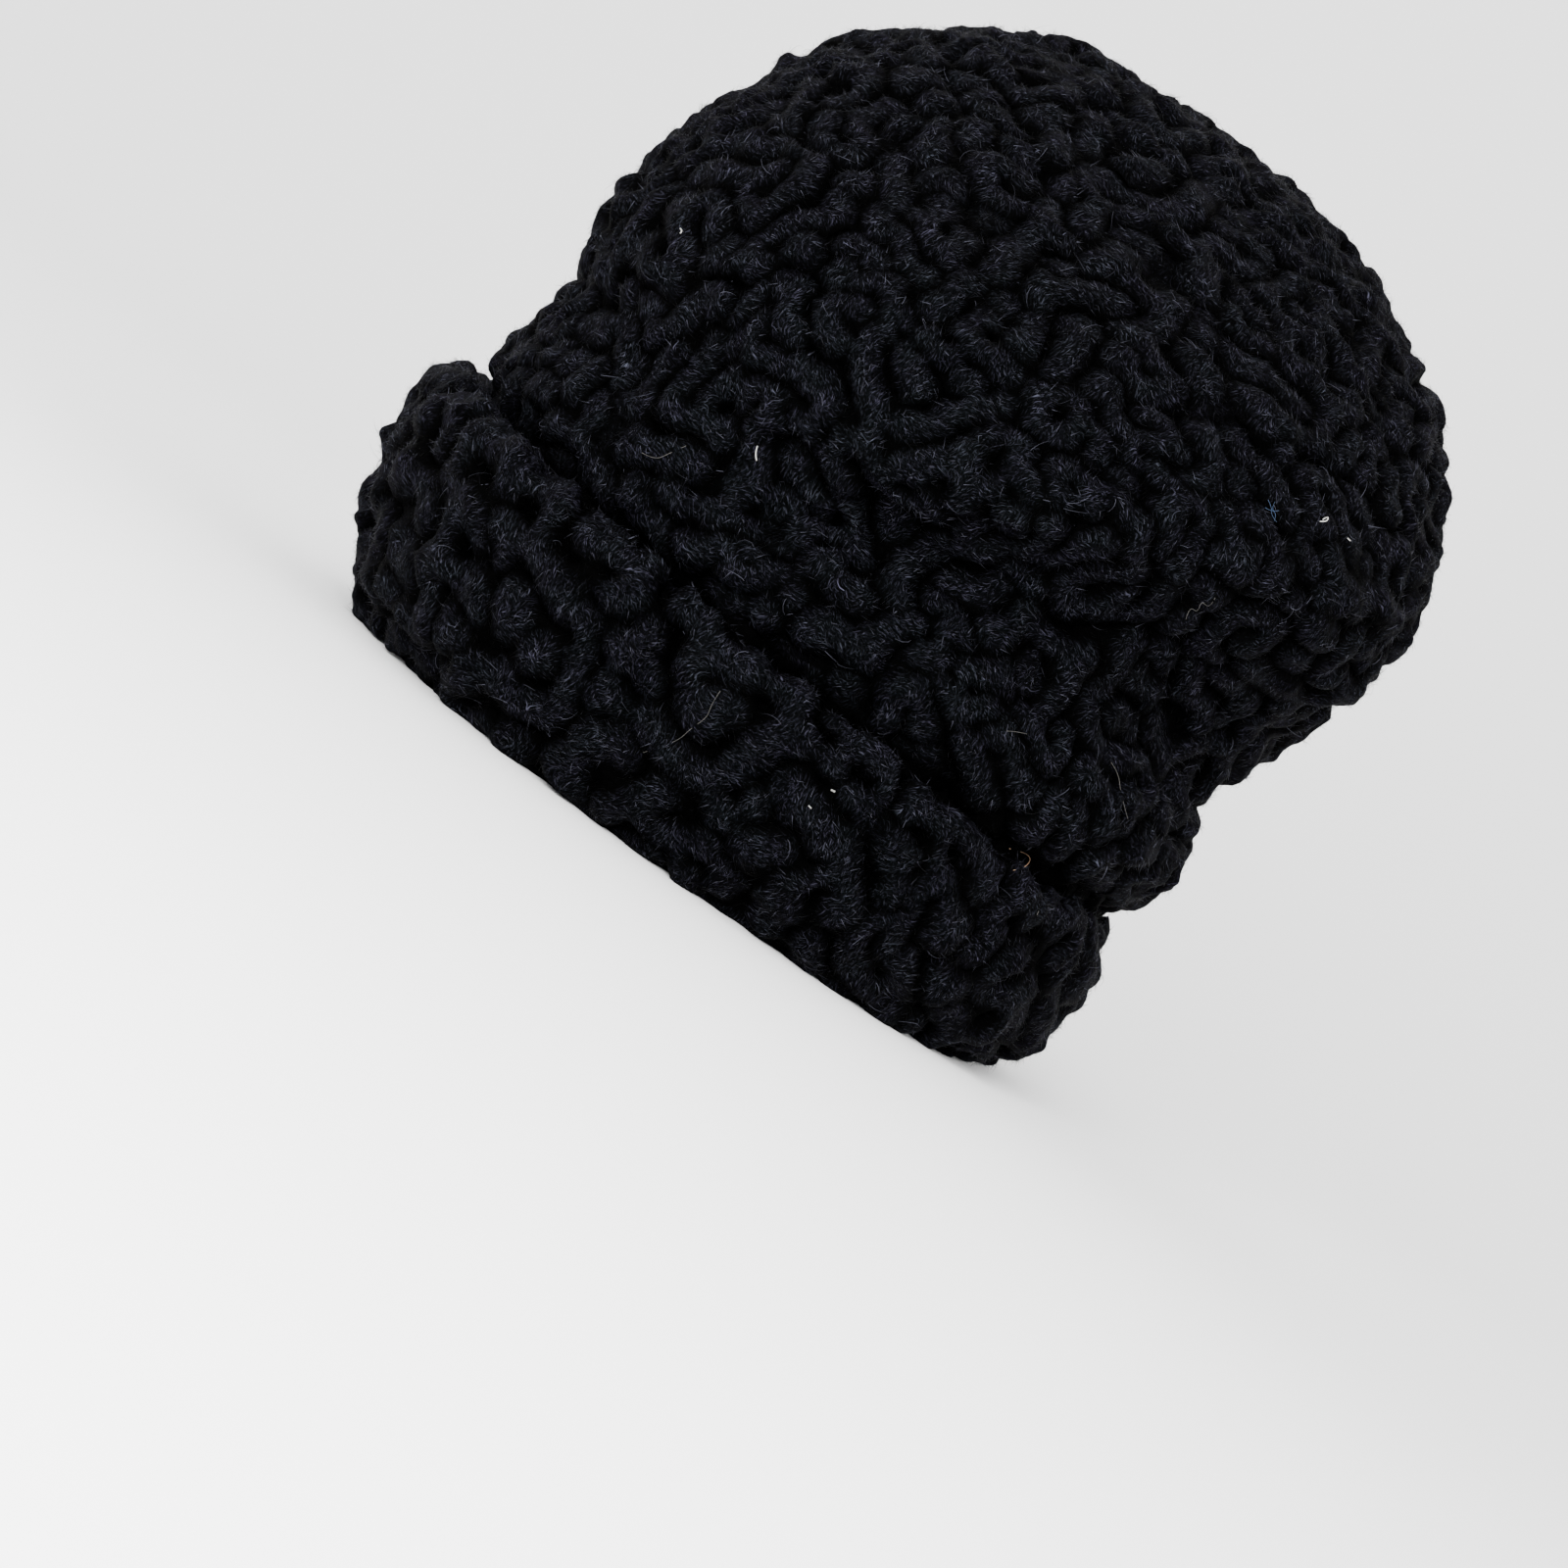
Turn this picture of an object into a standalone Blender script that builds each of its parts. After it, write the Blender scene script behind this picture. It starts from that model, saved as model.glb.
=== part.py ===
"""Cossack hat of curly lamb-fur cloth: a tall soft crown, the oval panel that closes it, and a turned-up cuff.

Metres, +Z up. The wearer's face is towards -Y and the left ear towards +X.
The hat is slack: its top tips to the left, and the wall under it sags in. It stands on the fold of its cuff.
"""

import math

import bmesh
import bpy
from mathutils import Vector

# The cloth's backing and pile together
CLOTH = 0.009
# 2 is an ellipse, more is squarer
PLAN_SQUARENESS = 2.25

# A ring of the crown's outside in each row, from the rim up.
# Each side has its distance from the middle of the rim, then its height.
RING_COLUMNS = (
    "front", "front_height", "back", "back_height", "left", "left_height", "right", "right_height",
)
CROWN_RINGS = (
    ("rim", 0.101, 0.009, 0.104, 0.009, 0.085, 0.009, 0.085, 0.009),
    ("in the cuff", 0.107, 0.036, 0.106, 0.028, 0.091, 0.032, 0.090, 0.032),
    ("cuff's edge", 0.113, 0.064, 0.112, 0.054, 0.099, 0.058, 0.096, 0.060),
    ("over the cuff", 0.1225, 0.086, 0.121, 0.078, 0.104, 0.079, 0.103, 0.086),
    ("crease", 0.1175, 0.112, 0.1155, 0.101, 0.100, 0.106, 0.101, 0.114),
    ("brow", 0.1210, 0.134, 0.1235, 0.124, 0.105, 0.121, 0.104, 0.140),
    ("widest", 0.119, 0.160, 0.1340, 0.168, 0.108, 0.141, 0.108, 0.180),
    ("shoulder", 0.108, 0.196, 0.127, 0.199, 0.098, 0.170, 0.106, 0.220),
    ("top edge", 0.085, 0.230, 0.103, 0.231, 0.070, 0.202, 0.088, 0.253),
    ("top", 0.045, 0.252, 0.060, 0.252, 0.033, 0.231, 0.052, 0.266),
)
TOP_MIDDLE = Vector((-0.010, 0.006, 0.258))
SEAM_RING = 7.0
SEAM_GAP_IN_RINGS = 0.03

# Folds in the crown's outside, each pressed in by its depth, or out where that is negative.
# The rise is in metres of height for each degree towards the back.
FOLD_COLUMNS = ("bearing", "height", "rise", "half_angle", "half_height", "depth")
FOLDS = (
    ("hollow under the brow", 50.0, 0.122, -0.0003, 42.0, 0.037, 0.018),
    ("front end of the hollow", 2.0, 0.108, 0.0007, 42.0, 0.020, 0.009),
    ("brow", 10.0, 0.137, 0.0009, 60.0, 0.022, -0.005),
    ("lower bulge", 40.0, 0.078, 0.0000, 50.0, 0.022, -0.003),
)

# A ring of the cuff in each row: under the fold, up the outside, over the edge, down to the ledge
CUFF_RINGS = (
    ("underside, inner", 0.094, 0.000, 0.097, 0.000, 0.078, 0.000, 0.078, 0.000),
    ("underside, outer", 0.102, 0.000, 0.105, 0.000, 0.090, 0.000, 0.090, 0.000),
    ("fold", 0.111, 0.004, 0.111, 0.004, 0.099, 0.004, 0.099, 0.004),
    ("low", 0.122, 0.014, 0.118, 0.014, 0.106, 0.014, 0.106, 0.014),
    ("middle", 0.131, 0.034, 0.120, 0.029, 0.110, 0.032, 0.110, 0.032),
    ("high", 0.136, 0.058, 0.118, 0.043, 0.113, 0.049, 0.111, 0.050),
    ("edge, outer", 0.135, 0.068, 0.1165, 0.051, 0.112, 0.058, 0.110, 0.059),
    ("edge", 0.130, 0.074, 0.1145, 0.054, 0.109, 0.062, 0.107, 0.063),
    ("edge, inner", 0.125, 0.071, 0.1135, 0.0515, 0.105, 0.059, 0.102, 0.060),
    ("slot", 0.114, 0.048, 0.1095, 0.038, 0.097, 0.044, 0.095, 0.044),
    ("inside", 0.1035, 0.010, 0.1060, 0.010, 0.0875, 0.010, 0.0875, 0.010),
    ("ledge, outer", 0.102, 0.0085, 0.105, 0.0085, 0.086, 0.0085, 0.086, 0.0085),
    ("ledge, inner", 0.092, 0.0085, 0.095, 0.0085, 0.076, 0.0085, 0.076, 0.0085),
)

SEGMENTS = 72
SIDE_ROWS = 24
TOP_ROWS = 7
# The last row beside the seam is a narrow one, in rings, so that both walls stand square to the seam
SEAM_ROW = 0.1
LAST_RING = 9.6

FUR_COLOUR = (0.012, 0.012, 0.014)
FUR_ROUGHNESS = 0.95
SHARP_ANGLE = math.radians(50)


def bump(distance, half_width):
    """1 at the middle, 0 from half_width on, smooth between."""
    share = min(abs(distance) / half_width, 1.0)
    return (1.0 - share * share) ** 2


def turn_between(bearing, other):
    """Degrees from one bearing to another, from -180 to 180."""
    return (bearing - other + 180.0) % 360.0 - 180.0


def through(values, position):
    """A smooth curve through evenly spaced values, read at position."""
    last = len(values) - 1
    start = min(max(int(math.floor(position)), 0), last - 1)
    share = position - start
    before, low, high, after = (values[min(max(start + step, 0), last)] for step in (-1, 0, 1, 2))
    slope_low = (high - before) / 2
    slope_high = (after - low) / 2
    cube, square = share**3, share**2
    return (
        (2 * cube - 3 * square + 1) * low
        + (cube - 2 * square + share) * slope_low
        + (3 * square - 2 * cube) * high
        + (cube - square) * slope_high
    )


def ring_sizes(rings, position):
    """The sizes of a ring, which may lie between two rows of the table."""
    return {
        column: through([row[index + 1] for row in rings], position)
        for index, column in enumerate(RING_COLUMNS)
    }


def squared(value):
    return math.copysign(abs(value) ** (2 / PLAN_SQUARENESS), value)


def ring_point(size, bearing):
    """The point of a ring at a bearing in degrees from the left ear towards the back."""
    angle = math.radians(bearing)
    cosine, sine = math.cos(angle), math.sin(angle)
    sides = [size[side + "_height"] for side in ("left", "right", "front", "back")]
    left, right, front, back = sides
    return Vector((
        (size["left"] - size["right"]) / 2 + (size["left"] + size["right"]) / 2 * squared(cosine),
        (size["back"] - size["front"]) / 2 + (size["back"] + size["front"]) / 2 * squared(sine),
        sum(sides) / 4
        + (left - right) / 2 * cosine
        + (back - front) / 2 * sine
        + (left + right - front - back) / 4 * math.cos(2 * angle),
    ))


def crown_outside(bearing, position):
    """A point of the crown's outer surface. The position is in rings from the rim."""
    last = len(CROWN_RINGS) - 1
    point = ring_point(ring_sizes(CROWN_RINGS, min(position, last)), bearing)
    if position > last:
        return point.lerp(TOP_MIDDLE, position - last)
    outward = Vector((point.x, point.y, 0.0)).normalized()
    height = point.z
    for row in FOLDS:
        fold = dict(zip(FOLD_COLUMNS, row[1:]))
        turn = turn_between(bearing, fold["bearing"])
        above = height - fold["height"] - fold["rise"] * turn
        point -= outward * fold["depth"] * bump(turn, fold["half_angle"]) * bump(above, fold["half_height"])
    return point


def bearings():
    return [360.0 * index / SEGMENTS for index in range(SEGMENTS)]


def ring(surface, position):
    return [surface(bearing, position) for bearing in bearings()]


def evenly(start, stop, count):
    return [start + (stop - start) * index / (count - 1) for index in range(count)]


def lofted(name, rings, tip=None, joined=False):
    """A skin through rings of points. It closes on a tip, or its last ring joins its first, or it stays open."""
    work = bmesh.new()
    row = bmesh.ops.create_circle(work, segments=len(rings[0]), radius=1.0)["verts"]
    for vertex, point in zip(row, rings[0]):
        vertex.co = point
    first_edges = edges = list(work.edges)
    for points in rings[1:]:
        grown = bmesh.ops.extrude_edge_only(work, edges=edges)["geom"]
        new = {item for item in grown if isinstance(item, bmesh.types.BMVert)}
        row = [
            next(edge.other_vert(vertex) for edge in vertex.link_edges if edge.other_vert(vertex) in new)
            for vertex in row
        ]
        edges = [item for item in grown if isinstance(item, bmesh.types.BMEdge) and set(item.verts) <= new]
        for vertex, point in zip(row, points):
            vertex.co = point
    if joined:
        bmesh.ops.bridge_loops(work, edges=first_edges + edges)
    if tip is not None:
        grown = bmesh.ops.extrude_edge_only(work, edges=edges)["geom"]
        tips = [item for item in grown if isinstance(item, bmesh.types.BMVert)]
        bmesh.ops.pointmerge(work, verts=tips, merge_co=tip)
    bmesh.ops.recalc_face_normals(work, faces=work.faces)
    mesh = bpy.data.meshes.new(name)
    work.to_mesh(mesh)
    work.free()
    mesh.shade_smooth()
    mesh.set_sharp_from_angle(angle=SHARP_ANGLE)
    return bpy.data.objects.new(name, mesh)


def thicken(piece):
    """Gives a skin the cloth's thickness, towards its inside."""
    cloth = piece.modifiers.new("cloth", "SOLIDIFY")
    cloth.thickness = CLOTH
    cloth.offset = -1.0
    cloth.use_even_offset = True


def crown_side():
    """The wall of the crown, from the rim up to the seam."""
    positions = evenly(0.0, SEAM_RING - SEAM_ROW, SIDE_ROWS) + [SEAM_RING]
    piece = lofted("crown_side", [ring(crown_outside, position) for position in positions])
    thicken(piece)
    return piece


def crown_top():
    """The oval panel that closes the crown, a domed disc."""
    edge = SEAM_RING + SEAM_GAP_IN_RINGS
    positions = [edge] + evenly(edge + SEAM_ROW, LAST_RING, TOP_ROWS)
    piece = lofted("crown_top", [ring(crown_outside, position) for position in positions], tip=TOP_MIDDLE)
    thicken(piece)
    return piece


def cuff():
    """The turned-up band. Its fold carries the crown's rim on a ledge."""
    rings = [
        [ring_point(dict(zip(RING_COLUMNS, row[1:])), bearing) for bearing in bearings()]
        for row in CUFF_RINGS
    ]
    return lofted("cuff", rings, joined=True)


def fur(name):
    material = bpy.data.materials.new(name)
    material.use_nodes = True
    shader = material.node_tree.nodes["Principled BSDF"]
    shader.inputs["Base Color"].default_value = (*FUR_COLOUR, 1.0)
    shader.inputs["Roughness"].default_value = FUR_ROUGHNESS
    shader.inputs["Metallic"].default_value = 0.0
    return material


def centre(pieces):
    """Moves the pieces so that the middle of the hat's outer box is over the origin."""
    points = [vertex.co for piece in pieces for vertex in piece.data.vertices]
    middle = Vector((
        (min(point.x for point in points) + max(point.x for point in points)) / 2,
        (min(point.y for point in points) + max(point.y for point in points)) / 2,
        0.0,
    ))
    for point in points:
        point -= middle


def main():
    for obj in list(bpy.data.objects):
        bpy.data.objects.remove(obj)
    hat = bpy.data.collections.new("cossack hat")
    bpy.context.scene.collection.children.link(hat)
    pieces = [crown_side(), crown_top(), cuff()]
    centre(pieces)
    for piece in pieces:
        piece.data.materials.append(fur(piece.name))
        hat.objects.link(piece)


main()
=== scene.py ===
# %% [markdown]
# # A tall hat of curly lamb-fur cloth
#
# The hat is cut from a pile cloth that imitates the coat of a young curly lamb. Its pile is about 8 mm
# long and is set in tight, worm-like curls that wind about, meet and end, with narrow black grooves
# between them. The cloth itself never shows from outside.
#
# The measured solids are the frame: a crown wall, the oval panel that closes it, and the turned-up cuff.
# This lesson takes a copy of each, gives it a fine even skin, grows the curls on that skin, and then adds
# the fibres that stand off the curls.

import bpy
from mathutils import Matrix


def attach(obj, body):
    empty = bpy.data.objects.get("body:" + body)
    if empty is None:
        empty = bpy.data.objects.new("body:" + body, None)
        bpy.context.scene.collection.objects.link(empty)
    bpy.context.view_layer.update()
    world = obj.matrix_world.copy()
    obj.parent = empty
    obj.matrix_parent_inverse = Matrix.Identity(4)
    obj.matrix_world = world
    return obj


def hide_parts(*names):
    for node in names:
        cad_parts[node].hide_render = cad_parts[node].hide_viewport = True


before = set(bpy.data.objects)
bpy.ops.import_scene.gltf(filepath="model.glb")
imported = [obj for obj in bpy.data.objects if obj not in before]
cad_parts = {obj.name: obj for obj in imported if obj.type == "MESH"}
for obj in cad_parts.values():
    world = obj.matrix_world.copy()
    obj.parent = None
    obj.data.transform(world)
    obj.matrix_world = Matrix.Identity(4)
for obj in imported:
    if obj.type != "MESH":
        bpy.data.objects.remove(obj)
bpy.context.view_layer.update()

# %% [markdown]
# The lesson needs Blender's own modules and numpy, because the pile has some two hundred thousand points
# and they are all moved by the same rule.

# %% Tools
import math

import bpy
import numpy as np
from mathutils import Matrix, Vector, kdtree, noise

MM = 0.001
NOISE_SEED = 3
noise.seed_set(NOISE_SEED)

# %% [markdown]
# ## The camera
#
# The hat was photographed from the wearer's left, a metre or so away, and tipped back. Here the hat
# stands on its fold, so the camera rolls instead, and the hat has the same place and slant in the frame.
# The camera stays above the floor. It comes first, because the bits of lint are placed later where the
# picture shows them.

# %% Camera
VIEW_DISTANCE = 1.0
VIEW_RISE = math.radians(3.5)
VIEW_ROLL = math.radians(36.1)
VIEW_MIDDLE = Vector((0.0, 0.0164, 0.0322))
VIEW_WIDTH = 459.2 * MM
PICTURE_SIZE = 1600
SENSOR = 36.0

toward = Vector((math.cos(VIEW_RISE), 0.0, math.sin(VIEW_RISE)))
back = Vector((0.0, 1.0, 0.0))
upward = toward.cross(back)
view_right = math.cos(VIEW_ROLL) * back + math.sin(VIEW_ROLL) * upward
view_up = -math.sin(VIEW_ROLL) * back + math.cos(VIEW_ROLL) * upward

bpy.ops.object.camera_add(location=VIEW_MIDDLE + toward * VIEW_DISTANCE)
camera = bpy.context.object
camera.name = "camera"
camera.rotation_euler = Matrix((view_right, view_up, toward)).transposed().to_euler()
camera.data.sensor_width = SENSOR
camera.data.lens = SENSOR * VIEW_DISTANCE / VIEW_WIDTH
bpy.context.scene.camera = camera
print("camera at", camera.location.to_tuple(3), "lens", round(camera.data.lens, 1), "mm")

# %% [markdown]
# ## The even skins
#
# A curl is about 12 mm wide with its groove, so the skin needs a point at least every 1.4 mm, and needs
# them equally close everywhere. Cutting the solids' long faces up would crowd the points at the top of
# the crown. A voxel remesh spreads them evenly instead. It also fills the inner wall with points that no
# curl will use, so a Decimate modifier thins those, held off the outside by a vertex group.
#
# The crown's wall and its top panel are made one skin first, because they are cut from one cloth and
# their curls lie across the seam and hide it. Both walls swell a little, which closes the gap between
# them, and shrink back after the remesh. They are parted again at the end.

# %% Helpers for one piece
SHORTEST = 1e-12


def only(*pieces):
    """Makes these the only selected pieces, the first of them active."""
    bpy.ops.object.select_all(action="DESELECT")
    for piece in pieces:
        piece.select_set(True)
    bpy.context.view_layer.objects.active = pieces[0]


def edit(piece, mode="VERT"):
    """Opens a piece in edit mode with everything selected."""
    only(piece)
    bpy.ops.object.mode_set(mode="EDIT")
    bpy.ops.mesh.select_mode(type=mode)
    bpy.ops.mesh.select_all(action="SELECT")


def numbers(items, name, width=3, kind=np.float32):
    """A property of all the items at once, a row for each."""
    found = np.empty(len(items) * width, kind)
    items.foreach_get(name, found)
    return found.reshape(-1, width) if width > 1 else found


def apply(piece, kind, **settings):
    """Adds a modifier, gives it its settings and applies it."""
    only(piece)
    modifier = piece.modifiers.new(kind.lower(), kind)
    for name, value in settings.items():
        setattr(modifier, name, value)
    bpy.ops.object.modifier_apply(modifier=modifier.name)


def unit(vectors):
    """The same directions, each 1 long."""
    return vectors / np.maximum(np.linalg.norm(vectors, axis=-1, keepdims=True), SHORTEST)


def dots(vectors, others):
    """The dot product of each row with the other's row."""
    return np.einsum("ij,ij->i", vectors, others)


# %% [markdown]
# What counts as outside is told by the normals. On the crown it is every point whose normal leads away
# from the middle of the hat, down to a little way inside the cuff. On the cuff it is everything but the
# ledge under the crown's rim and the bottom of the slot between the two. Heights here are in metres, and
# how far a normal leads out is from -1 to 1.

# %% Outside or hidden
HAT_MIDDLE = np.array((0.0, 0.0, 0.12))
CROWN_SLOT_FLOOR = 0.051
CROWN_SLOT_SLOPE = -0.09
CUFF_SLOT_FLOOR = 0.034
CUFF_SLOT_LEADS_OUT = -0.2
CUFF_LEDGE = 0.0105
CUFF_LEDGE_LEADS_OUT = 0.3
UNDERSIDE = -0.5


def crown_outside(points, normals):
    """Which of the crown's points show."""
    leads_out = dots(normals, points - HAT_MIDDLE) > 0
    return leads_out & (points[:, 2] > CROWN_SLOT_FLOOR + CROWN_SLOT_SLOPE * points[:, 1])


def cuff_outside(points, normals):
    """Which of the cuff's points show."""
    leads_out = dots(normals[:, :2], unit(points[:, :2]))
    slot = (leads_out < CUFF_SLOT_LEADS_OUT) & (points[:, 2] < CUFF_SLOT_FLOOR)
    ledge = (leads_out < CUFF_LEDGE_LEADS_OUT) & (points[:, 2] < CUFF_LEDGE) & (normals[:, 2] > UNDERSIDE)
    return ~(slot | ledge)


# %% The skins
CROWN_SPACING = 1.40 * MM
CUFF_SPACING = 1.25 * MM
SEAM_CLOSING = 0.8 * MM
KEPT_OF_HIDDEN = 0.03
DOUBLES = 0.01 * MM


def even_skin(name, solids, spacing, outside):
    """A closed copy of some solids in one, fine and even on its outside and coarse on its hidden side."""
    copies = []
    for solid in solids:
        copies.append(bpy.data.objects.new(name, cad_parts[solid].data.copy()))
        bpy.context.scene.collection.objects.link(copies[-1])
    only(*copies)
    if len(copies) > 1:
        bpy.ops.object.join()
    piece = copies[0]
    edit(piece)
    bpy.ops.mesh.remove_doubles(threshold=DOUBLES)
    bpy.ops.transform.shrink_fatten(value=SEAM_CLOSING)
    bpy.ops.object.mode_set(mode="OBJECT")
    apply(piece, "REMESH", mode="VOXEL", voxel_size=spacing)
    edit(piece)
    bpy.ops.transform.shrink_fatten(value=-SEAM_CLOSING)
    bpy.ops.object.mode_set(mode="OBJECT")
    shown = outside(numbers(piece.data.vertices, "co"), numbers(piece.data.vertex_normals, "vector"))
    piece.vertex_groups.new(name="hidden").add(np.flatnonzero(~shown).tolist(), 1.0, "REPLACE")
    keep = shown.mean() + KEPT_OF_HIDDEN * (1 - shown.mean())
    apply(piece, "DECIMATE", vertex_group="hidden", ratio=float(keep))
    piece.vertex_groups.clear()
    return piece


def triangles(piece):
    """How many triangles a piece's faces come to."""
    return int((numbers(piece.data.polygons, "loop_total", 1, np.int32) - 2).sum())


crown_pile = even_skin("crown_side_pile", ("crown_side", "crown_top"), CROWN_SPACING, crown_outside)
cuff_pile = even_skin("cuff_pile", ("cuff",), CUFF_SPACING, cuff_outside)
print("triangles: crown", triangles(crown_pile), "cuff", triangles(cuff_pile))

# %% [markdown]
# The seam of the solids is a nearly flat ring. A plane is laid through the edge of the top panel and the
# skin is scored along it, which gives both panels exactly the same edge.

# %% The seam
NEAR_THE_SEAM = 2 * MM
SCORING_REACH = 0.2 * MM


def tree_of(points):
    """A search tree that finds the nearest of these points."""
    tree = kdtree.KDTree(len(points))
    for index, point in enumerate(points.tolist()):
        tree.insert(point, index)
    tree.balance()
    return tree


wall = tree_of(numbers(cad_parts["crown_side"].data.vertices, "co"))
panel = numbers(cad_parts["crown_top"].data.vertices, "co")
edge = panel[[wall.find(point)[2] < NEAR_THE_SEAM for point in panel.tolist()]]
seam_middle = edge.mean(axis=0)
seam_normal = np.linalg.svd(edge - seam_middle, full_matrices=False)[2][2]
seam_normal *= np.sign(seam_normal[2])

edit(crown_pile)
bpy.ops.mesh.bisect(plane_co=seam_middle, plane_no=seam_normal, threshold=SCORING_REACH)
bpy.ops.object.mode_set(mode="OBJECT")
above_seam = (numbers(crown_pile.data.vertices, "co") - seam_middle) @ seam_normal
print("seam at", seam_middle.round(3), "facing", seam_normal.round(2))

# %% [markdown]
# ## Where the curls run
#
# Curls crowd each other: close by, fibres lean together into a ridge, and a little further off they part
# into a groove. A rule of that kind, near helps and far hinders, repeated sixteen times on random
# numbers, settles into winding ridges that meet and end as curls do. Drawing them by hand would take
# thousands of curves, and a noise texture makes blobs and no worms.
#
# The rule needs only an average over each point's nearest neighbours, and these are found through space.

# %% Neighbours
NEIGHBOURS = 9
NEIGHBOUR_REACH = 1.0 * MM
NORMAL_STEPS = 8
UPRIGHT = np.array((0.0, 0.0, 1.0))


class Cloth:
    """A skin's outside points, with each point's nearest neighbours and their weights."""

    def __init__(self, piece, outside):
        points = numbers(piece.data.vertices, "co")
        normals = numbers(piece.data.vertex_normals, "vector")
        self.piece = piece
        self.shown = np.flatnonzero(outside(points, normals))
        self.points = points[self.shown]
        tree = tree_of(self.points)
        self.near = np.array([
            [hit[1] for hit in tree.find_n(point, NEIGHBOURS)] for point in self.points.tolist()
        ])
        self.steps = self.points[self.near] - self.points[:, None]
        square = np.einsum("ijk,ijk->ij", self.steps, self.steps)
        self.weights = np.exp(-square / (2 * NEIGHBOUR_REACH**2)).astype(np.float32)
        self.weights /= self.weights.sum(axis=1, keepdims=True)
        self.spread_of_step = float((self.weights * square).sum(axis=1).mean()) / 2
        self.normals = unit(self.spread(normals[self.shown], NORMAL_STEPS))
        self.level = unit(np.cross(UPRIGHT, self.normals))
        self.rising = np.cross(self.normals, self.level)

    def spread(self, values, times):
        """Each value averaged with its neighbours', so many times."""
        for _ in range(times):
            values = np.einsum("ij,ij...->i...", self.weights, values[self.near])
        return values

    def slope(self, values):
        """The direction along the skin in which the values rise fastest, for each metre."""
        rise = values[self.near] - values[:, None]
        slope = np.einsum("ij,ij,ijk->ik", self.weights, rise, self.steps) / self.spread_of_step
        return slope - self.normals * dots(slope, self.normals)[:, None]


crown = Cloth(crown_pile, crown_outside)
cuff = Cloth(cuff_pile, cuff_outside)
print("points", len(crown.points), len(cuff.points))
print("a step spreads", round(crown.spread_of_step**0.5 / MM, 2), "mm")

# %% [markdown]
# Along the cuff's upper edge the cloth is rolled over, so its curls run together there into one long lip.
# The crown's pile is pressed flat where it comes out from behind that lip, and the gap between them is
# the hat's darkest line. Both are given to the rule as a bias, and the shade in the gap is also painted
# onto the crown further on.

# %% Beside the cuff's edge
SLOT_REACH = 5.0 * MM
SLOT_START = 4.0 * MM
SLOT_GROOVE = -0.5
LIP_HEIGHT = 40 * MM
LIP_NORMALS = (0.0, 0.4)
LIP_RIDGE = 1.2
LIP_STEPS = 4


def closeness(points, others):
    """1 where a cloth lies against another one, falling to 0 within a few millimetres."""
    tree = tree_of(others)
    apart = np.array([tree.find(point)[2] for point in points.tolist()], np.float32)
    return np.exp(-((np.maximum(apart - SLOT_START, 0) / SLOT_REACH) ** 2))


crown.pressed = closeness(crown.points, cuff.points)
cuff.pressed = np.zeros(len(cuff.points), np.float32)
lip = np.interp(cuff.normals[:, 2], LIP_NORMALS, (0.0, 1.0)) * (cuff.points[:, 2] > LIP_HEIGHT)
crown.bias = SLOT_GROOVE * crown.pressed
cuff.bias = LIP_RIDGE * cuff.spread(lip, LIP_STEPS)
print("points on the lip", int((lip > 0).sum()))

# %% [markdown]
# Curls are wider in some places than in others, from about 9 to 14 mm. So the far average has two sizes,
# mixed by slow patches. Left alone, the rule also makes ridges that run on for a hand's width, and the
# real ones are short and coil back on themselves. So the pile is first parted into clumps, the cells of a
# bent Voronoi pattern, with a groove along some stretches of their borders. The curls then follow them
# round. A slow lean to one side decides whether the ridges join into a net or break up into separate
# worms.

# %% The ridges
NEAR_SPREAD = 1.85 * MM
MIDDLE_SPREAD = 2.95 * MM
FAR_SPREAD = 5.60 * MM
CROWN_CURLS = 0.84
CUFF_CURLS = 1.02
CROWN_SEED = 4
CUFF_SEED = 9
PUSH = 5.0
ROUNDS = 16
LEAN = -0.22
LEAN_VARIATION = 0.24
LEAN_LENGTH = 11 * MM
SIZE_PATCH = 18 * MM
SIZE_CONTRAST = 1.3
CLUMP = 36 * MM
CLUMP_BEND = 0.5
PARTING = 0.07
PARTING_PUSH = 2.4
PARTING_PATCH = 14 * MM
PARTING_SHARE = 0.3
PARTING_CONTRAST = 2.0
WEAKEST = 1e-6


def patches(points, size):
    """Smooth random values from about -1 to 1, alike within about the given size."""
    return np.array([noise.noise(point) for point in (points / size).tolist()], np.float32)


def partings(points):
    """1 on the borders between clumps of curls, 0 inside them."""
    border = []
    for point in points.tolist():
        bent = Vector(point) / CLUMP + CLUMP_BEND * noise.noise_vector(Vector(point) / CLUMP)
        distances = noise.voronoi(bent)[0]
        border.append(distances[1] - distances[0])
    kept = np.clip(PARTING_SHARE + PARTING_CONTRAST * patches(points, PARTING_PATCH), 0, 1)
    return kept * np.exp(-((np.array(border, np.float32) / PARTING) ** 2))


def ridges(cloth, seed, size):
    """A wave that is 1 along the crest of a curl and -1 in the groove beside it."""
    cloth.parting = partings(cloth.points)
    lean = LEAN + LEAN_VARIATION * patches(cloth.points, LEAN_LENGTH)
    lean = lean - PARTING_PUSH * cloth.parting + cloth.bias
    wave = np.random.default_rng(seed).standard_normal(len(cloth.points)).astype(np.float32)
    spreads = (NEAR_SPREAD * size, MIDDLE_SPREAD * size, FAR_SPREAD * size)
    near, middle, far = (round(spread**2 / cloth.spread_of_step) for spread in spreads)
    cloth.narrow = np.clip(0.5 + SIZE_CONTRAST * patches(cloth.points, SIZE_PATCH), 0, 1)
    for turn in range(ROUNDS + 1):
        close = cloth.spread(wave, near)
        around = cloth.spread(close, middle - near)
        wide = cloth.spread(around, far - middle)
        band = close - cloth.narrow * around - (1 - cloth.narrow) * wide
        if turn < ROUNDS:
            wave = np.tanh(PUSH * band + lean)
    strength = np.sqrt(2 * cloth.spread(band**2, middle))
    return np.clip(band / np.maximum(strength, WEAKEST), -1, 1)


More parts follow.
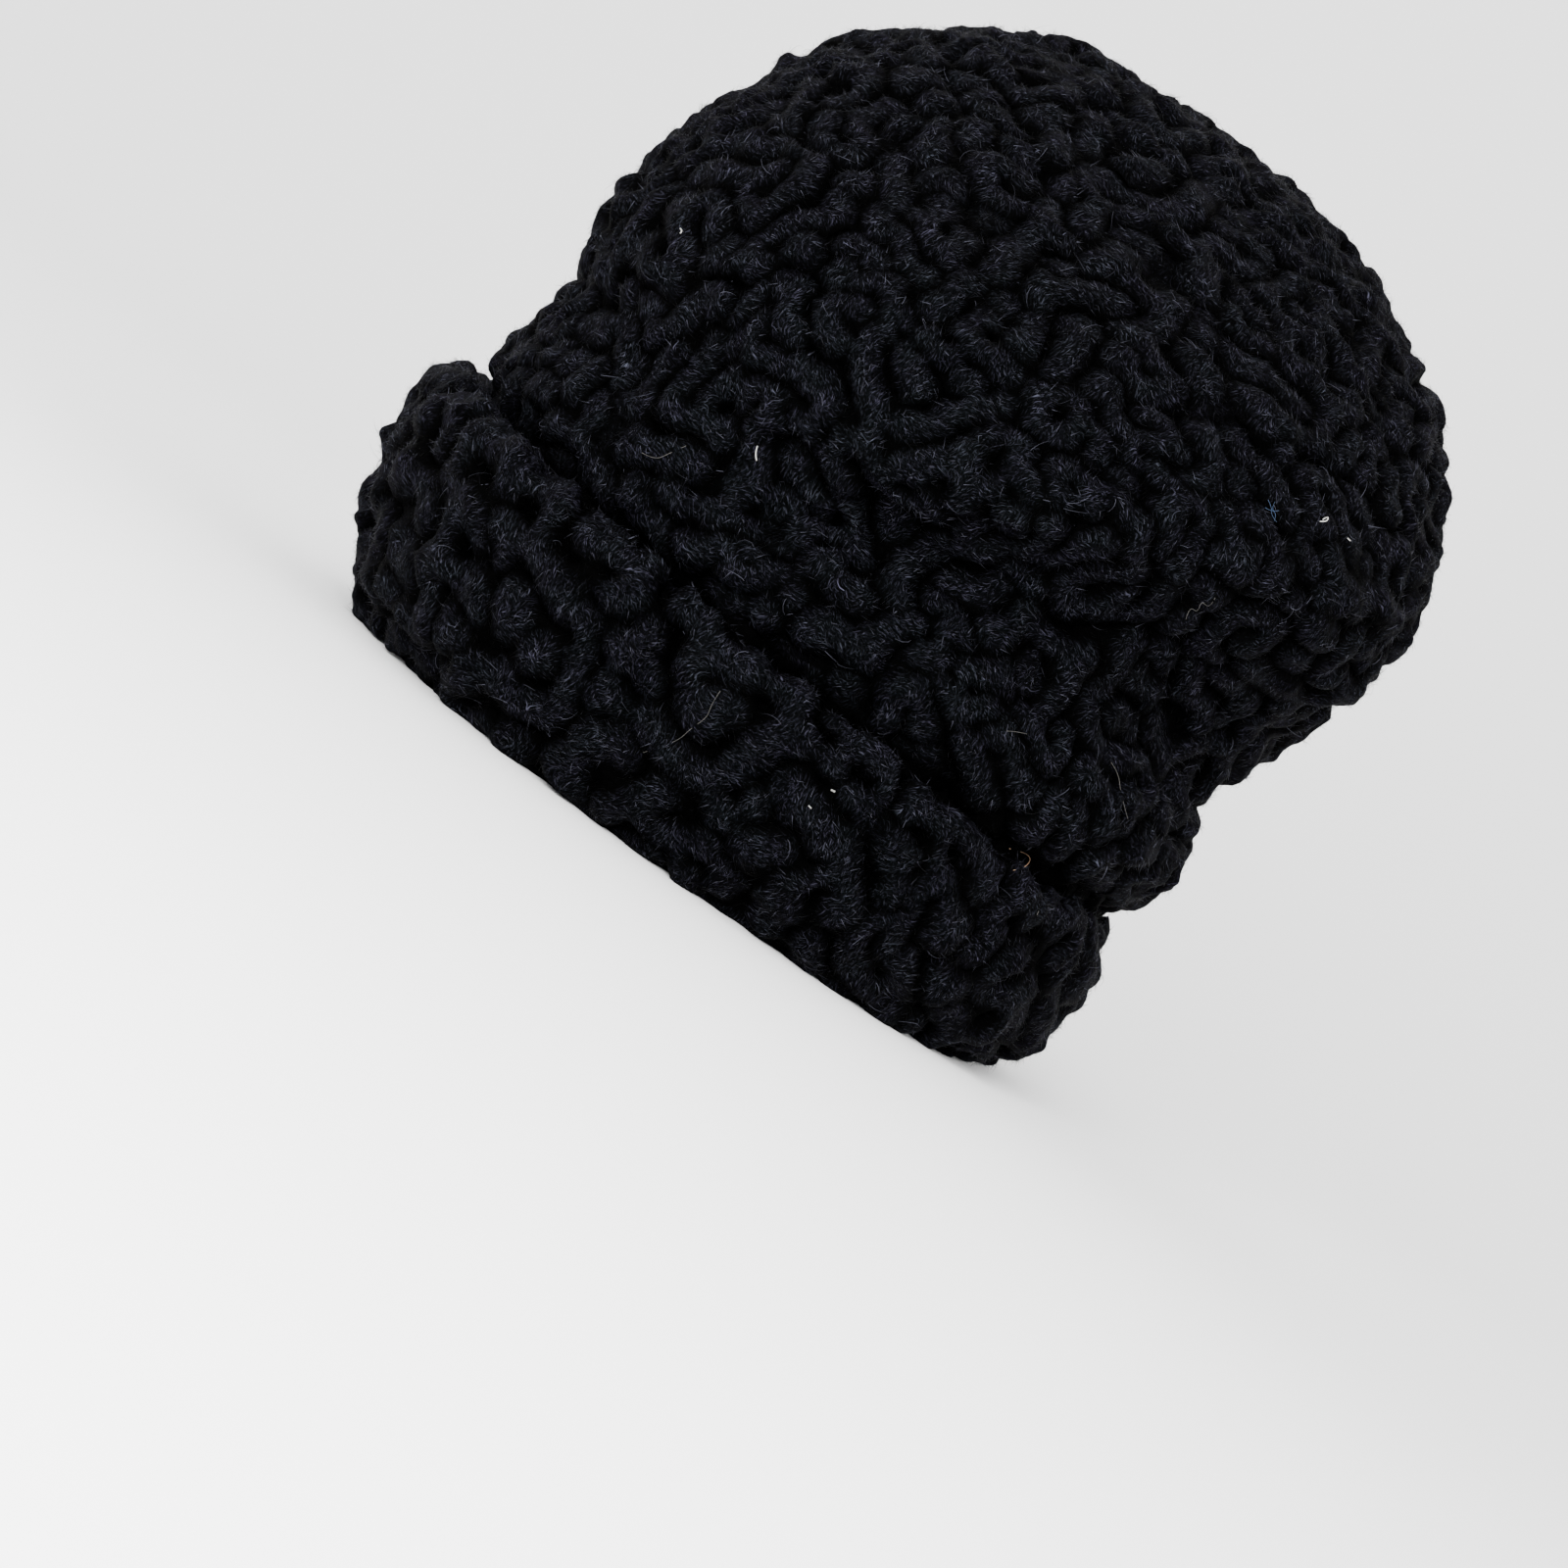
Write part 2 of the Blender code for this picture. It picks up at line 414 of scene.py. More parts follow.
crown.wave = ridges(crown, CROWN_SEED, CROWN_CURLS)
cuff.wave = ridges(cuff, CUFF_SEED, CUFF_CURLS)
for cloth in (crown, cuff):
    share = round(100 * float((cloth.wave > 0).mean()))
    print(cloth.piece.name, "has ridges on", share, "% of its points")

# %% [markdown]
# ## The shape of a curl
#
# Across, a curl is nearly half a circle, and its flanks bulge over the groove, which leaves a narrow dark
# slit. Along, its crest rises and sinks, and it has lumps where the locks lie on each other and smaller
# ones for their tufts. So each point moves out along the cloth's normal, and sideways towards its groove,
# most on the flank. The height is averaged twice with its neighbours', so that small curls don't end in
# points.
#
# Round the turn at the cuff's foot the cloth is stretched. Its curls are lower there and less alike, and
# where the hat stands on them they are pressed flat.

# %% Relief
CREST = 2.7 * MM
CREST_VARIATION = 3.6 * MM
CREST_PATCH = 11 * MM
GROOVE = -5.8 * MM
GROOVE_VARIATION = 3.2 * MM
GROOVE_PATCH = 12 * MM
PARTING_DEPTH = 2.6 * MM
WIDER_CURLS = 1.65
ROUNDNESS = 2.0
FULLNESS = 0.55
WIDE_CURLS_HIGHER = 0.35
BULGE = 0.8 * MM
BULGE_PLACE = 1.5
LUMP = 1.4 * MM
LUMP_SIZE = 6.0 * MM
TUFT = 1.2 * MM
TUFT_SIZE = 3.0 * MM
SOFTENING_STEPS = 2
SLOT_PRESS = 2.8 * MM
SLOT_PAINTED_SHADE = 0.88
LOWEST = -7.5 * MM
LOWEST_UNDERNEATH = -6.0 * MM
UNDERNEATH = 0.8
LEAST_DOWNWARD = 0.05
FOLD_TOP = 16 * MM
FOLD_NORMAL = 0.65
FOLD_WIDTH = 0.28
FOLD_LEVEL = -1.4 * MM
FOLD_VARIATION = 3.5 * MM
FOLD_PATCH = 16 * MM


def raise_curls(cloth):
    """Works out where each point of a cloth goes, and how deep it lies in its groove, from 0 to 1, raised
    beside the cuff as painted shade.
    """
    cloth.across = (np.arccos(cloth.wave) / math.pi) ** WIDER_CURLS
    rounded = (1 - cloth.across**ROUNDNESS) ** FULLNESS
    crest = CREST + CREST_VARIATION * patches(cloth.points, CREST_PATCH)
    groove = GROOVE + GROOVE_VARIATION * patches(-cloth.points, GROOVE_PATCH)
    size = 1 + WIDE_CURLS_HIGHER * (0.5 - cloth.narrow)
    height = (groove + (crest - groove) * rounded) * size + LUMP * patches(cloth.points, LUMP_SIZE)
    height += TUFT * patches(-cloth.points, TUFT_SIZE)
    height -= PARTING_DEPTH * cloth.parting + SLOT_PRESS * cloth.pressed
    downward = np.clip(-cloth.normals[:, 2], 0, 1)
    fold = np.exp(-(((downward - FOLD_NORMAL) / FOLD_WIDTH) ** 2))
    fold *= np.clip(2 - 2 * cloth.points[:, 2] / FOLD_TOP, 0, 1)
    height += fold * (FOLD_LEVEL + FOLD_VARIATION * patches(cloth.points, FOLD_PATCH))
    height = cloth.spread(height, SOFTENING_STEPS)
    height = np.maximum(height, np.where(downward > UNDERNEATH, LOWEST_UNDERNEATH, LOWEST))
    above_floor = cloth.points[:, 2] / np.maximum(-cloth.normals[:, 2], LEAST_DOWNWARD)
    height = np.minimum(height, above_floor)
    downhill = -unit(cloth.spread(cloth.slope(cloth.wave), 1))
    sideways = BULGE * np.sin(math.pi * cloth.across**BULGE_PLACE)
    cloth.raised = cloth.points + cloth.normals * height[:, None] + downhill * sideways[:, None]
    cloth.raised[:, 2] = np.maximum(cloth.raised[:, 2], 0.0)
    # Beside the cuff's edge the groove value is raised, so the materials paint shade along the gap.
    cloth.across = np.maximum(cloth.across, SLOT_PAINTED_SHADE * cloth.pressed)
    print(cloth.piece.name, "lies from", round(float(height.min()) / MM, 1), "to",
          round(float(height.max()) / MM, 1), "mm off the solid")


for cloth in (crown, cuff):
    raise_curls(cloth)

# %% [markdown]
# ## Which way the fibres lie
#
# On the real pile the fibres cross each curl from groove to groove, more or less aslant, and this is what
# gives it its silky streaks. The direction across is the wave's slope, averaged as a line without an
# arrow, because it turns round at the crest. It is kept as the cosine and sine of twice its angle from
# the level line, which can be averaged and read between the points.

# %% The fibres' direction
COMB_STEPS = 6
ASLANT = math.radians(35)
ASLANT_VARIATION = math.radians(75)
ASLANT_PATCH = 16 * MM


def comb(cloth):
    """Works out the angle of the fibres at each point, from the level line."""
    slope = cloth.slope(cloth.wave)
    line = np.einsum("ij,ik->ijk", slope, slope).reshape(-1, 9)
    line = cloth.spread(line, COMB_STEPS).reshape(-1, 3, 3)
    level = np.einsum("ij,ijk,ik->i", cloth.level, line, cloth.level)
    rising = np.einsum("ij,ijk,ik->i", cloth.rising, line, cloth.rising)
    both = np.einsum("ij,ijk,ik->i", cloth.level, line, cloth.rising)
    cloth.aslant = np.arctan2(2 * both, level - rising) / 2
    cloth.aslant += ASLANT + ASLANT_VARIATION * patches(cloth.points, ASLANT_PATCH)


def store(mesh, name, values):
    """Writes a number or a vector for each point into a mesh."""
    kind, key = ("FLOAT", "value") if values.ndim == 1 else ("FLOAT_VECTOR", "vector")
    attribute = mesh.attributes.new(name, kind, "POINT")
    attribute.data.foreach_set(key, values.astype(np.float32).ravel())


def set_points(cloth):
    """Writes the raised points, and what the materials read, into the skin."""
    mesh = cloth.piece.data
    points = numbers(mesh.vertices, "co")
    points[cloth.shown] = cloth.raised
    groove = np.ones(len(points))
    groove[cloth.shown] = cloth.across
    fibres = np.zeros((len(points), 3))
    fibres[cloth.shown, 0] = np.cos(2 * cloth.aslant)
    fibres[cloth.shown, 1] = np.sin(2 * cloth.aslant)
    out = numbers(mesh.vertex_normals, "vector")
    out[cloth.shown] = cloth.normals
    bare = np.ones(len(points))
    bare[cloth.shown] = 0
    mesh.vertices.foreach_set("co", points.ravel())
    store(mesh, "groove", groove)
    store(mesh, "fibres", fibres)
    store(mesh, "cloth_normal", out)
    store(mesh, "bare", bare)
    mesh.update()
    print(cloth.piece.name, "has", len(cloth.shown), "raised points and", int(bare.sum()), "bare ones")


for cloth in (crown, cuff):
    comb(cloth)
    set_points(cloth)

# %% [markdown]
# Now the crown is parted along its scored seam, and each panel's open edge is bridged from its outside to
# its inside, which closes it again.

# %% Parting the crown
SHARP = math.radians(60)

over = above_seam[numbers(crown_pile.data.loops, "vertex_index", 1, np.int32)]
starts = numbers(crown_pile.data.polygons, "loop_start", 1, np.int32)
over = np.add.reduceat(over, starts) > 0
edit(crown_pile, mode="FACE")
bpy.ops.mesh.select_all(action="DESELECT")
bpy.ops.object.mode_set(mode="OBJECT")
crown_pile.data.polygons.foreach_set("select", over)
bpy.ops.object.mode_set(mode="EDIT")
bpy.ops.mesh.separate(type="SELECTED")
bpy.ops.object.mode_set(mode="OBJECT")
top_pile = next(piece for piece in bpy.context.selected_objects if piece != crown_pile)
top_pile.name = "crown_top_pile"
for piece in (crown_pile, top_pile):
    edit(piece, mode="EDGE")
    bpy.ops.mesh.select_all(action="DESELECT")
    bpy.ops.mesh.select_non_manifold(
        extend=False,
        use_wire=False,
        use_multi_face=False,
        use_non_contiguous=False,
        use_verts=False,
    )
    bpy.ops.mesh.bridge_edge_loops()
    bpy.ops.object.mode_set(mode="OBJECT")

PILES = (crown_pile, top_pile, cuff_pile)
for piece in PILES:
    only(piece)
    bpy.ops.object.shade_smooth_by_angle(angle=SHARP)
    print(piece.name, triangles(piece), "triangles")

# %% [markdown]
# ## Loose fibres
#
# Between the streaks that the material will draw, real fibres leave the curls and give them their soft
# outline. Hair curves would look best in Blender alone, but this part is also kept as plain meshes. So
# one fibre is made from a cone, a long thin needle of four faces, and copied more than a hundred thousand
# times by arithmetic. It lies along the fibres' direction, a little raised, and there are more of them on
# the crests than in the grooves.

# %% One fibre
def cone_shape(cuts=()):
    """A cone 1 long, cut across at some heights: its points, and which of them each triangle joins."""
    bpy.ops.object.select_all(action="DESELECT")
    bpy.ops.mesh.primitive_cone_add(
        vertices=3, radius1=0.5, radius2=0.0, depth=1.0, location=(0.0, 0.0, 0.5)
    )
    bpy.ops.object.transform_apply(location=True)
    piece = bpy.context.object
    edit(piece)
    for cut in cuts:
        bpy.ops.mesh.select_all(action="SELECT")
        bpy.ops.mesh.bisect(plane_co=(0.0, 0.0, cut), plane_no=(0.0, 0.0, 1.0))
    bpy.ops.mesh.select_all(action="SELECT")
    bpy.ops.mesh.quads_convert_to_tris()
    bpy.ops.object.mode_set(mode="OBJECT")
    points = numbers(piece.data.vertices, "co")
    corners = numbers(piece.data.loops, "vertex_index", 1, np.int32)
    bpy.data.objects.remove(piece)
    return points, corners


needle = cone_shape()
print("a fibre has", len(needle[0]), "points and", len(needle[1]) // 3, "faces")

# %% Many copies in one mesh
BAKE_MAP = "OFBake"
CELL_CORNERS = np.array(((0.15, 0.15), (0.85, 0.15), (0.15, 0.85)))


def triangle_mesh(name, points, corners):
    """A new piece from its points and the points of its triangles' corners."""
    mesh = bpy.data.meshes.new(name)
    mesh.vertices.add(len(points))
    mesh.vertices.foreach_set("co", points.astype(np.float32).ravel())
    mesh.loops.add(len(corners))
    mesh.loops.foreach_set("vertex_index", corners.astype(np.int32))
    mesh.polygons.add(len(corners) // 3)
    mesh.polygons.foreach_set("loop_start", np.arange(0, len(corners), 3, dtype=np.int32))
    mesh.update(calc_edges=True)
    piece = bpy.data.objects.new(name, mesh)
    bpy.context.scene.collection.objects.link(piece)
    return piece


def copies_of(shape, name, points, tint, groove):
    """One piece of many copies of a small shape. Each copy has a cell of its own in the piece's UV map."""
    count, size = points.shape[:2]
    points[:, :, 2] = np.maximum(points[:, :, 2], 0.0)
    corners = shape[1] + size * np.arange(count)[:, None]
    piece = triangle_mesh(name, points.reshape(-1, 3), corners.ravel())
    store(piece.data, "tint", np.repeat(tint, size))
    store(piece.data, "groove", np.repeat(groove, size))
    side = math.ceil(math.sqrt(count))
    cell = np.stack([np.arange(count) % side, np.arange(count) // side], axis=1)
    places = (cell[:, None, None] + CELL_CORNERS) / side
    places = np.repeat(places, len(shape[1]) // 3, axis=1)
    bake_map = piece.data.uv_layers.new(name=BAKE_MAP)
    bake_map.data.foreach_set("uv", places.astype(np.float32).ravel())
    print(name, count, "copies,", triangles(piece), "triangles")
    return piece


# %% Places on the pile
FIBRES_END = 1.12
LEAN_PATCH = 8 * MM


def pile_area(pile):
    """The triangles of a pile, and the area of each that shows."""
    mesh = pile.data
    mesh.calc_loop_triangles()
    corners = numbers(mesh.loop_triangles, "vertices", 3, np.int32)
    bare = numbers(mesh.attributes["bare"].data, "value", 1)[corners].max(axis=1)
    return corners, numbers(mesh.loop_triangles, "area", 1) * (bare == 0)


def scatter(pile, random, count, stray):
    """Random places, most on the crests: each place, its normal, its fibres' way and its groove."""
    mesh = pile.data
    corners, areas = pile_area(pile)
    groove = numbers(mesh.attributes["groove"].data, "value", 1)
    weight = areas * (FIBRES_END - groove[corners].mean(axis=1))
    corner = corners[random.choice(len(corners), count, p=weight / weight.sum())]
    share = random.dirichlet((1, 1, 1), count)
    root = np.einsum("ij,ijk->ik", share, numbers(mesh.vertices, "co")[corner])
    normal = unit(np.einsum("ij,ijk->ik", share, numbers(mesh.vertex_normals, "vector")[corner]))
    first = corner[:, 0]
    double = numbers(mesh.attributes["fibres"].data, "vector")[first]
    out = numbers(mesh.attributes["cloth_normal"].data, "vector")[first]
    angle = np.arctan2(double[:, 1], double[:, 0]) / 2 + random.normal(0, stray, count)
    level = unit(np.cross(UPRIGHT, out))
    along = np.cos(angle)[:, None] * level + np.sin(angle)[:, None] * np.cross(out, level)
    along *= np.where(patches(root, LEAN_PATCH) > 0, 1, -1)[:, None]
    return root, normal, unit(along - normal * dots(along, normal)[:, None]), groove[first]


# %% Short fibres
FIBRES_PER_MM2 = 0.52
MOST_FIBRES = 45_000
FIBRE_WIDTH = (0.09 * MM, 0.17 * MM)
FIBRE_LENGTH = (1.8 * MM, 4.2 * MM)
FIBRE_LIFT = (math.radians(6), math.radians(36))
FIBRE_STRAY = 0.60
FIBRE_ROOT = 0.30 * MM
FIBRE_SEED = 20


def short_fibres(pile, name, seed):
    """Straight fibres all over a pile, a little raised."""
    random = np.random.default_rng(seed)
    count = min(MOST_FIBRES, int(pile_area(pile)[1].sum() / MM**2 * FIBRES_PER_MM2))
    root, normal, along, groove = scatter(pile, random, count, FIBRE_STRAY)
    lift = random.uniform(*FIBRE_LIFT, count)[:, None]
    forward = np.cos(lift) * along + np.sin(lift) * normal
    side = unit(np.cross(forward, normal))
    width = random.uniform(*FIBRE_WIDTH, count)
    scale = np.stack([width, width, random.uniform(*FIBRE_LENGTH, count)], axis=1)
    axes = np.stack([side, np.cross(forward, side), forward], axis=1)
    points = np.einsum("pk,ik,ikj->ipj", needle[0], scale, axes) + (root - FIBRE_ROOT * normal)[:, None]
    return copies_of(needle, name, points, random.random(count), groove)


FIBRE_PIECES = []
for turn, pile in enumerate(PILES):
    name = pile.name.replace("pile", "fibres")
    FIBRE_PIECES.append(short_fibres(pile, name, FIBRE_SEED + turn))

# %% [markdown]
# ## Stray hairs
#
# More than a thousand longer hairs have worked loose. They arch over the curls and give the hat its fuzzy
# outline. A plain needle can't bend, so this one is first cut across in five, by bisecting it, and each
# copy of it is then laid round an arc by arithmetic.

# %% One hair that can bend
HAIR_CUTS = (0.2, 0.4, 0.6, 0.8)

hair = cone_shape(HAIR_CUTS)
print("a hair has", len(hair[0]), "points and", len(hair[1]) // 3, "faces")

# %% Long hairs
HAIRS = {"crown_side_pile": 520, "crown_top_pile": 280, "cuff_pile": 560}
HAIR_WIDTH = (0.11 * MM, 0.18 * MM)
HAIR_LENGTH = (4.0 * MM, 10.0 * MM)
HAIR_LIFT = (math.radians(10), math.radians(60))
HAIR_TURN = (math.radians(40), math.radians(200))
HAIR_SPIN = (-1.3, 1.3)
HAIR_STRAY = 1.2
# Long hairs take the upper part of the fibres' ramp, so most of them carry painted sheen.
HAIR_TINT = (0.6, 1.0)
HAIR_SEED = 30


def long_hairs(pile, name, seed):
    """Hairs bent round an arc, each in a plane of its own."""
    random = np.random.default_rng(seed)
    count = HAIRS[pile.name]
    root, normal, along, _ = scatter(pile, random, count, HAIR_STRAY)
    lift = random.uniform(*HAIR_LIFT, count)[:, None]
    forward = np.cos(lift) * along + np.sin(lift) * normal
    down = np.sin(lift) * along - np.cos(lift) * normal
    side = np.cross(forward, down)
    spin = random.uniform(*HAIR_SPIN, count)[:, None]
    inward = np.cos(spin) * down + np.sin(spin) * side
    side = np.cross(inward, forward)
    length = random.uniform(*HAIR_LENGTH, count)[:, None]
    turn = random.uniform(*HAIR_TURN, count)[:, None]
    width = random.uniform(*HAIR_WIDTH, count)[:, None]
    height = hair[0][None, :, 2]
    ahead, bent = np.sin(turn * height), np.cos(turn * height)
    along_arc = ahead / turn * length + width * hair[0][:, 1] * -ahead
    into_arc = (1 - bent) / turn * length + width * hair[0][:, 1] * bent
    points = along_arc[:, :, None] * forward[:, None] + into_arc[:, :, None] * inward[:, None]
    points += (width * hair[0][:, 0])[:, :, None] * side[:, None] + (root - FIBRE_ROOT * normal)[:, None]
    return copies_of(hair, name, points, random.uniform(*HAIR_TINT, count), np.zeros(count))


for turn, pile in enumerate(PILES):
    name = pile.name.replace("pile", "hairs")
    FIBRE_PIECES.append(long_hairs(pile, name, HAIR_SEED + turn))

# %% [markdown]
# ## Lint
#
# Dark pile catches every bit of lint: a few white specks, some light hairs, a wisp of blue fluff at the
# back, and a brown thread in the gap over the cuff. They are placed where the picture shows them. A line
# from the camera through a pixel meets the pile, and each thread is a curve through such points, given a
# round section and made a mesh.

# %% Lint
SPECK = 0.34 * MM
HAIR = 0.08 * MM
LINT_LIFT = 0.4 * MM
LINT_BITS = {
    "pale_lint": {
        "streak on the crown's side": (SPECK, ((773, 455), (770, 462), (772, 470))),
        "speck low on the crown": (SPECK, ((694, 233), (697, 236), (694, 238))),
        "large speck on the cuff": (1.6 * SPECK, ((848, 806), (852, 808))),
        "small speck on the cuff": (0.8 * SPECK, ((825, 822), (828, 825))),
        "tuft at the back": (SPECK, ((1350, 530), (1356, 526), (1354, 533), (1347, 532))),
        "speck under the tuft": (0.8 * SPECK, ((1375, 549), (1378, 552))),
    },
    "loose_hairs": {
        "curved hair at the back": (HAIR, ((1134, 778), (1142, 790), (1143, 808), (1151, 836))),
        "short hair by the gap": (HAIR, ((1027, 746), (1036, 746), (1048, 749))),
        "long hair on the cuff": (
            HAIR, ((735, 705), (726, 718), (722, 732), (704, 744), (690, 758), (656, 768))
        ),
        "hair in front": (HAIR, ((655, 462), (668, 470), (684, 462), (700, 455))),
        "wavy hair": (
            HAIR, ((1210, 632), (1214, 618), (1222, 626), (1226, 612), (1234, 622), (1240, 610))
        ),
        "hair over the gap": (HAIR, ((1062, 902), (1066, 918), (1058, 934))),
    },
    "blue_fluff": {
        "first strand": (1.5 * HAIR, ((1294, 510), (1298, 518), (1297, 526), (1303, 533))),
        "second strand": (1.5 * HAIR, ((1301, 512), (1297, 519), (1303, 525), (1300, 532))),
        "third strand": (1.5 * HAIR, ((1291, 518), (1298, 523), (1305, 521))),
    },
    "brown_thread": {
        "thread in the gap": (
            2.2 * HAIR, ((1030, 866), (1044, 869), (1053, 876), (1046, 886), (1034, 888))
        ),
    },
}


def on_the_hat(pixel):
    """The point of the pile that the camera sees at a pixel of the picture, lifted a little off it."""
    right, down = ((value / PICTURE_SIZE - 0.5) * VIEW_WIDTH for value in pixel)
    sight = (VIEW_MIDDLE + view_right * right - view_up * down - camera.location).normalized()
    hits = [pile.ray_cast(camera.location, sight) for pile in PILES]
    places = [hit[1] for hit in hits if hit[0]]
    nearest = min(places, key=lambda place: (place - camera.location).length)
    return nearest - sight * LINT_LIFT


def thread(name, width, pixels):
    """A thin thread with a round section, through the pile's points at some pixels."""
    line = bpy.data.curves.new(name, "CURVE")
    line.dimensions = "3D"
    line.bevel_depth = width / 2
    line.bevel_resolution = 0
    line.use_fill_caps = True
    line.resolution_u = 4
    spline = line.splines.new("NURBS")
    spline.points.add(len(pixels) - 1)
    for point, pixel in zip(spline.points, pixels):
        point.co = (*on_the_hat(pixel), 1.0)
    spline.order_u = 3
    spline.use_endpoint_u = True
    piece = bpy.data.objects.new(name, line)
    bpy.context.scene.collection.objects.link(piece)
    return piece


bpy.context.view_layer.update()
LINT = []
for name, bits in LINT_BITS.items():
    threads = [thread(name, width, pixels) for width, pixels in bits.values()]
    only(*threads)
    bpy.ops.object.convert(target="MESH")
    if len(threads) > 1:
        bpy.ops.object.join()
    LINT.append(threads[0])
    edit(LINT[-1])
    bpy.ops.mesh.remove_doubles(threshold=DOUBLES)
    bpy.ops.mesh.normals_make_consistent(inside=False)
    bpy.ops.object.mode_set(mode="OBJECT")
    print(name, len(bits), "bits,", triangles(LINT[-1]), "triangles")

# %% [markdown]
# ## Materials
#
# The pile is of dyed acrylic, crimped into curls before it is fixed to its backing. It is nearly black
# and takes up most of the light. Its sheen is painted into the colour: each bundle of fibres is drawn as
# a slightly lighter, bluish line, and the grooves are darkened as painted shade. The shader itself has
# almost no gloss.

# %% Colours and nodes
def linear(code):
    """An sRGB hex colour as linear red, green, blue and alpha."""
    channels = [int(code[index : index + 2], 16) / 255 for index in (1, 3, 5)]
    return (*(c / 12.92 if c <= 0.04045 else ((c + 0.055) / 1.055) ** 2.4 for c in channels), 1.0)


def node(tree, kind, settings, *sources, **links):
    """Adds a node. Settings are properties, input values or a colour ramp's stops, each a place and a hex
    colour. Sources go to the inputs in their order, and links to the inputs that they name."""
    made = tree.nodes.new(kind)
    for key, value in settings.items():
        if key == "stops":
            ramp = made.color_ramp.elements
            for index, (position, code) in enumerate(value):
                if index == len(ramp):
                    ramp.new(position)
                ramp[index].position = position
                ramp[index].color = linear(code)
        elif isinstance(key, int) or key in made.inputs:
            made.inputs[key].default_value = value
        else:
            setattr(made, key, value)
    for number, source in enumerate(sources):
        tree.links.new(source, made.inputs[number])
    for key, source in links.items():
        tree.links.new(source, made.inputs[key.replace("_", " ")])
    return made


def material(name, **settings):
    """A new material with its Principled shader's settings."""
    made = bpy.data.materials.new(name)
    made.use_nodes = True
    shader = made.node_tree.nodes["Principled BSDF"]
    for key, value in settings.items():
        shader.inputs[key.replace("_", " ")].default_value = value
    return made, made.node_tree, shader


# %% [markdown]
# The streaks follow the fibres' direction, which turns from place to place. A noise that is stretched
# along a turning direction tears, unless it is measured from a point close by. So the pile is first
# divided into tufts, the cells of a Voronoi texture, and within each tuft the noise is stretched along
# the fibres and measured from the tuft's own middle. The tufts' edges look like locks that lie over each
# other.

# %% Streaks
TUFTS_APART = 60.0


def streaks(tree, place, out, lie, tuft, length, width, stray):
    """Streaks of fibres in tufts. The sizes are in metres."""
    cell = node(tree, "ShaderNodeTexVoronoi", {"Scale": 1 / tuft}, Vector=place)
    local = node(tree, "ShaderNodeVectorMath", {"operation": "SUBTRACT"}, place, cell.outputs["Position"])
    centred = {"operation": "SUBTRACT", 1: (0.5, 0.5, 0.5)}
    chance = node(tree, "ShaderNodeVectorMath", centred, cell.outputs["Color"])
    turned = node(tree, "ShaderNodeVectorMath", {"operation": "SCALE", "Scale": stray}, chance.outputs[0])
    turned = node(tree, "ShaderNodeVectorMath", {"operation": "ADD"}, turned.outputs[0], lie)
    along = node(tree, "ShaderNodeVectorMath", {"operation": "NORMALIZE"}, turned.outputs[0])
    aside = node(tree, "ShaderNodeVectorMath", {"operation": "CROSS_PRODUCT"}, out, along.outputs[0])
    axes = []
    for axis, size in ((along, length), (aside, width)):
        measured = {"operation": "DOT_PRODUCT"}
        reach = node(tree, "ShaderNodeVectorMath", measured, local.outputs[0], axis.outputs[0])
        shrunk = {"operation": "MULTIPLY", 1: 1 / size}
        axes.append(node(tree, "ShaderNodeMath", shrunk, reach.outputs["Value"]).outputs[0])
    apart = node(tree, "ShaderNodeSeparateXYZ", {}, chance.outputs[0])
    apart = node(tree, "ShaderNodeMath", {"operation": "MULTIPLY", 1: TUFTS_APART}, apart.outputs[0])
    where = node(tree, "ShaderNodeCombineXYZ", {}, *axes, apart.outputs[0])
    fibrous = {"Scale": 1.0, "Detail": 2.0, "Roughness": 0.6}
    return node(tree, "ShaderNodeTexNoise", fibrous, Vector=where.outputs[0]).outputs["Fac"]


def shaded(tree, colour):
    """A colour that sinks to black in the grooves, where next to no light gets in."""
    groove = node(tree, "ShaderNodeAttribute", {"attribute_name": "groove"}).outputs["Fac"]
    depths = {"From Min": 0.12, "From Max": 0.60, "To Min": 1.0, "To Max": 0.02}
    light = node(tree, "ShaderNodeMapRange", depths, Value=groove).outputs[0]
    return node(tree, "ShaderNodeVectorMath", {"operation": "SCALE"}, colour, Scale=light).outputs[0]


# %% [markdown]
# The direction comes from the skin: the cosine and sine of twice the angle give the angle, and the
# cloth's normal gives the level line. Tufts are about 4.4 and 2.5 mm wide. A real fibre is only some
# hundredths of a millimetre thick, too fine to show here, so the streaks are drawn 0.25 and 0.15 mm wide.
# The dye has taken unevenly, and leans to green or violet over patches of about 9 mm.

# %% The pile's material
DYE_PATCH = 9 * MM

curly_pile, tree, shader = material("dyed curly pile", Roughness=0.7, Specular_IOR_Level=0.01)
place = node(tree, "ShaderNodeTexCoord", {}).outputs["Object"]
out = node(tree, "ShaderNodeAttribute", {"attribute_name": "cloth_normal"}).outputs["Vector"]
double = node(tree, "ShaderNodeAttribute", {"attribute_name": "fibres"}).outputs["Vector"]
double = node(tree, "ShaderNodeSeparateXYZ", {}, double)
angle = node(tree, "ShaderNodeMath", {"operation": "ARCTAN2"}, double.outputs[1], double.outputs[0])
angle = node(tree, "ShaderNodeMath", {"operation": "MULTIPLY", 1: 0.5}, angle.outputs[0])
level = node(tree, "ShaderNodeVectorMath", {"operation": "CROSS_PRODUCT", 1: (0.0, 0.0, -1.0)}, out)
level = node(tree, "ShaderNodeVectorMath", {"operation": "NORMALIZE"}, level.outputs[0])
rising = node(tree, "ShaderNodeVectorMath", {"operation": "CROSS_PRODUCT"}, out, level.outputs[0])
parts = []
